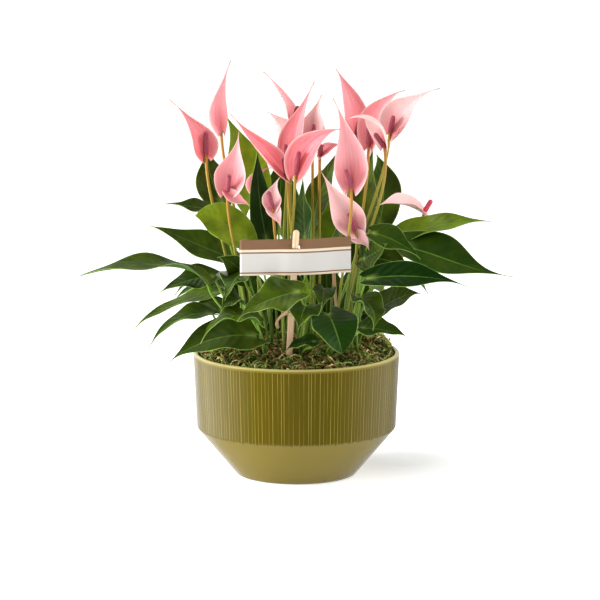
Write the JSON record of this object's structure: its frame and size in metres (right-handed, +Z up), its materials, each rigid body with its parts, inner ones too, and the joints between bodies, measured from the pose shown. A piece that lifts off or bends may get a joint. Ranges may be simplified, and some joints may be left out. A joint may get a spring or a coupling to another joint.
{
  "type": "potted flamingo flower",
  "caption": "Flamingo flower plant with pointed pink spathes and heart-based leaves, growing through moss in a wide ribbed glazed bowl, with a bare label on a stick.",
  "frame": {"origin": "middle of the bowl's foot, on the surface it stands on", "axes": "+Z up, -Y towards the viewer of the front view, +X to the viewer's right"},
  "size_m": [0.4822, 0.3041, 0.4642],
  "materials": {
    "bowl_glaze": "glossy olive reactive glaze with fine lighter lines",
    "potting_mix": "loose matt potting mix",
    "moss": "matt curly moss with brown fibres",
    "stick_wood": "bare sanded",
    "card": "matt card with a brown band and thin lines",
    "leaf": "glossy dark green with light midrib and margin",
    "stalk": "satin bronze green, spadix maroon and bumpy",
    "spathe": "satin light pink, deeper at the base"
  },
  "bodies": {
    "root": {"bowl": "bowl_glaze", "potting_mix": "potting_mix", "moss_layer": "moss", "label_stick": "stick_wood", "label_card": "card", "leaf_shoot_west_front": "leaf", "leaf_shoot_west": "leaf", "leaf_shoot_west_back": "leaf", "leaf_shoot_front_left": "leaf", "leaf_shoot_left": "leaf", "leaf_shoot_mid_left": "leaf", "leaf_shoot_back": "leaf", "leaf_shoot_front": "leaf", "leaf_shoot_centre": "leaf", "leaf_shoot_mid_back": "leaf", "leaf_shoot_front_right": "leaf", "leaf_shoot_right": "leaf", "leaf_shoot_back_right": "leaf", "leaf_shoot_east_front": "leaf", "leaf_shoot_east": "leaf", "leaf_shoot_east_back": "leaf", "flower_01_stalk": "stalk", "flower_01_spathe": "spathe", "flower_02_stalk": "stalk", "flower_02_spathe": "spathe", "flower_03_stalk": "stalk", "flower_03_spathe": "spathe", "flower_04_stalk": "stalk", "flower_04_spathe": "spathe", "flower_05_stalk": "stalk", "flower_05_spathe": "spathe", "flower_06_stalk": "stalk", "flower_06_spathe": "spathe", "flower_07_stalk": "stalk", "flower_07_spathe": "spathe", "flower_08_stalk": "stalk", "flower_08_spathe": "spathe", "flower_09_stalk": "stalk", "flower_09_spathe": "spathe", "flower_10_stalk": "stalk", "flower_10_spathe": "spathe", "flower_11_stalk": "stalk", "flower_11_spathe": "spathe", "flower_12_stalk": "stalk", "flower_12_spathe": "spathe", "flower_13_stalk": "stalk", "flower_13_spathe": "spathe", "flower_14_stalk": "stalk", "flower_14_spathe": "spathe", "flower_15_stalk": "stalk", "flower_15_spathe": "spathe", "flower_16_stalk": "stalk", "flower_16_spathe": "spathe", "flower_17_stalk": "stalk", "flower_17_spathe": "spathe", "flower_18_stalk": "stalk", "flower_18_spathe": "spathe", "flower_19_stalk": "stalk", "flower_19_spathe": "spathe"}
  },
  "joints": []
}
